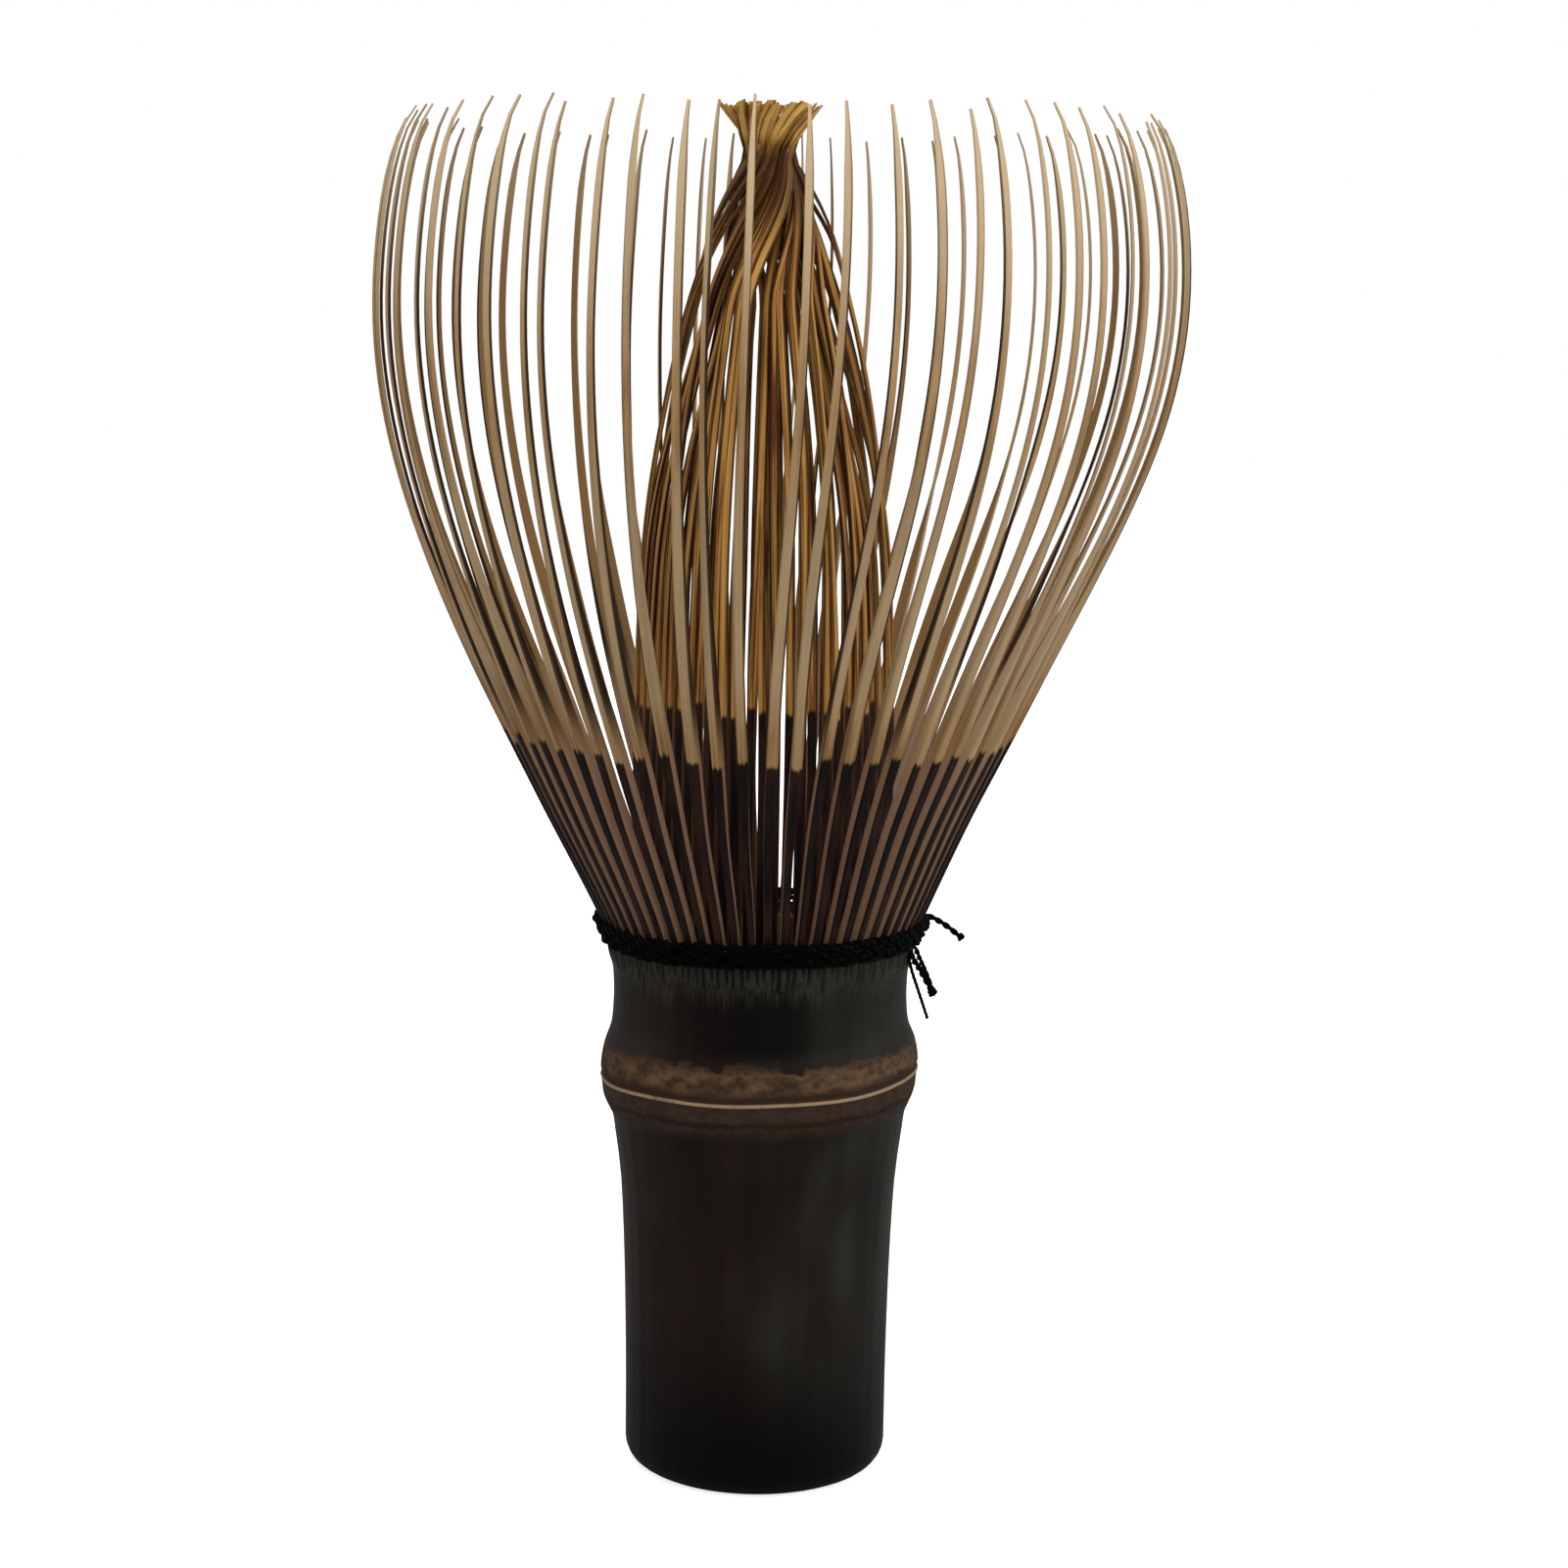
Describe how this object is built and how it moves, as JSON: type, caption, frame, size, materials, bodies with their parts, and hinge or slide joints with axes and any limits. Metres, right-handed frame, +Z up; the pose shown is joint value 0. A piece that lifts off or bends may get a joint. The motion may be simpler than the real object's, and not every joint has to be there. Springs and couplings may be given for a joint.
{
  "type": "bamboo tea whisk",
  "caption": "Hand tea whisk cut from one bamboo culm: dark hollow handle with a node, flared ring of curved outer tines, twisted inner bundle, black thread band.",
  "frame": {"origin": "centre of the foot, on the surface that the whisk stands on", "axes": "+Z up along the culm towards the tips of the tines; +X towards the tied thread ends; +Y away from the usual viewer"},
  "size_m": [0.0662, 0.0662, 0.1133],
  "materials": {
    "culm_skin": "dark natural bamboo skin, satin, brown mottling at the node",
    "outer_bamboo": "split and shaved bamboo, dark skin left on near the thread, pale tan above",
    "inner_bamboo": "thin split bamboo, golden brown, dark near the thread",
    "black_thread": "twisted black cotton thread"
  },
  "bodies": {
    "handle": {"culm_handle": "culm_skin", "inner_tines_01": "inner_bamboo", "inner_tines_02": "inner_bamboo", "inner_tines_03": "inner_bamboo", "inner_tines_04": "inner_bamboo", "inner_tines_05": "inner_bamboo", "inner_tines_06": "inner_bamboo", "inner_tines_07": "inner_bamboo", "inner_tines_08": "inner_bamboo", "inner_tines_09": "inner_bamboo", "inner_tines_10": "inner_bamboo", "inner_tines_11": "inner_bamboo", "inner_tines_12": "inner_bamboo", "inner_tines_13": "inner_bamboo", "inner_tines_14": "inner_bamboo", "inner_tines_15": "inner_bamboo", "inner_tines_16": "inner_bamboo", "lower_thread_wrap": "black_thread", "upper_thread_wrap": "black_thread", "inner_thread_loop": "black_thread", "thread_knot": "black_thread", "upper_thread_end": "black_thread", "lower_thread_end": "black_thread", "loose_thread_strand": "black_thread"},
    "outer_fork_01": {"outer_tines_01": "outer_bamboo"},
    "outer_fork_02": {"outer_tines_02": "outer_bamboo"},
    "outer_fork_03": {"outer_tines_03": "outer_bamboo"},
    "outer_fork_04": {"outer_tines_04": "outer_bamboo"},
    "outer_fork_05": {"outer_tines_05": "outer_bamboo"},
    "outer_fork_06": {"outer_tines_06": "outer_bamboo"},
    "outer_fork_07": {"outer_tines_07": "outer_bamboo"},
    "outer_fork_08": {"outer_tines_08": "outer_bamboo"},
    "outer_fork_09": {"outer_tines_09": "outer_bamboo"},
    "outer_fork_10": {"outer_tines_10": "outer_bamboo"},
    "outer_fork_11": {"outer_tines_11": "outer_bamboo"},
    "outer_fork_12": {"outer_tines_12": "outer_bamboo"},
    "outer_fork_13": {"outer_tines_13": "outer_bamboo"},
    "outer_fork_14": {"outer_tines_14": "outer_bamboo"},
    "outer_fork_15": {"outer_tines_15": "outer_bamboo"},
    "outer_fork_16": {"outer_tines_16": "outer_bamboo"}
  },
  "joints": [
    {"name": "outer_flex_01", "type": "hinge", "parent": "handle", "child": "outer_fork_01", "pos_m": [0.01195, 0, 0.0457], "axis": [0, 1, 0], "range_deg": [-5, 8], "stiffness_Nm_per_rad": 0.0048},
    {"name": "outer_flex_02", "type": "hinge", "parent": "handle", "child": "outer_fork_02", "pos_m": [0.01104, 0.00457, 0.0457], "axis": [-0.3827, 0.9239, 0], "range_deg": [-5, 8], "stiffness_Nm_per_rad": 0.0048},
    {"name": "outer_flex_03", "type": "hinge", "parent": "handle", "child": "outer_fork_03", "pos_m": [0.00845, 0.00845, 0.0457], "axis": [-0.7071, 0.7071, 0], "range_deg": [-5, 8], "stiffness_Nm_per_rad": 0.0048},
    {"name": "outer_flex_04", "type": "hinge", "parent": "handle", "child": "outer_fork_04", "pos_m": [0.00457, 0.01104, 0.0457], "axis": [-0.9239, 0.3827, 0], "range_deg": [-5, 8], "stiffness_Nm_per_rad": 0.0048},
    {"name": "outer_flex_05", "type": "hinge", "parent": "handle", "child": "outer_fork_05", "pos_m": [0, 0.01195, 0.0457], "axis": [-1, 0, 0], "range_deg": [-5, 8], "stiffness_Nm_per_rad": 0.0048},
    {"name": "outer_flex_06", "type": "hinge", "parent": "handle", "child": "outer_fork_06", "pos_m": [-0.00457, 0.01104, 0.0457], "axis": [-0.9239, -0.3827, 0], "range_deg": [-5, 8], "stiffness_Nm_per_rad": 0.0048},
    {"name": "outer_flex_07", "type": "hinge", "parent": "handle", "child": "outer_fork_07", "pos_m": [-0.00845, 0.00845, 0.0457], "axis": [-0.7071, -0.7071, 0], "range_deg": [-5, 8], "stiffness_Nm_per_rad": 0.0048},
    {"name": "outer_flex_08", "type": "hinge", "parent": "handle", "child": "outer_fork_08", "pos_m": [-0.01104, 0.00457, 0.0457], "axis": [-0.3827, -0.9239, 0], "range_deg": [-5, 8], "stiffness_Nm_per_rad": 0.0048},
    {"name": "outer_flex_09", "type": "hinge", "parent": "handle", "child": "outer_fork_09", "pos_m": [-0.01195, 0, 0.0457], "axis": [0, -1, 0], "range_deg": [-5, 8], "stiffness_Nm_per_rad": 0.0048},
    {"name": "outer_flex_10", "type": "hinge", "parent": "handle", "child": "outer_fork_10", "pos_m": [-0.01104, -0.00457, 0.0457], "axis": [0.3827, -0.9239, 0], "range_deg": [-5, 8], "stiffness_Nm_per_rad": 0.0048},
    {"name": "outer_flex_11", "type": "hinge", "parent": "handle", "child": "outer_fork_11", "pos_m": [-0.00845, -0.00845, 0.0457], "axis": [0.7071, -0.7071, 0], "range_deg": [-5, 8], "stiffness_Nm_per_rad": 0.0048},
    {"name": "outer_flex_12", "type": "hinge", "parent": "handle", "child": "outer_fork_12", "pos_m": [-0.00457, -0.01104, 0.0457], "axis": [0.9239, -0.3827, 0], "range_deg": [-5, 8], "stiffness_Nm_per_rad": 0.0048},
    {"name": "outer_flex_13", "type": "hinge", "parent": "handle", "child": "outer_fork_13", "pos_m": [0, -0.01195, 0.0457], "axis": [1, 0, 0], "range_deg": [-5, 8], "stiffness_Nm_per_rad": 0.0048},
    {"name": "outer_flex_14", "type": "hinge", "parent": "handle", "child": "outer_fork_14", "pos_m": [0.00457, -0.01104, 0.0457], "axis": [0.9239, 0.3827, 0], "range_deg": [-5, 8], "stiffness_Nm_per_rad": 0.0048},
    {"name": "outer_flex_15", "type": "hinge", "parent": "handle", "child": "outer_fork_15", "pos_m": [0.00845, -0.00845, 0.0457], "axis": [0.7071, 0.7071, 0], "range_deg": [-5, 8], "stiffness_Nm_per_rad": 0.0048},
    {"name": "outer_flex_16", "type": "hinge", "parent": "handle", "child": "outer_fork_16", "pos_m": [0.01104, -0.00457, 0.0457], "axis": [0.3827, 0.9239, 0], "range_deg": [-5, 8], "stiffness_Nm_per_rad": 0.0048}
  ]
}
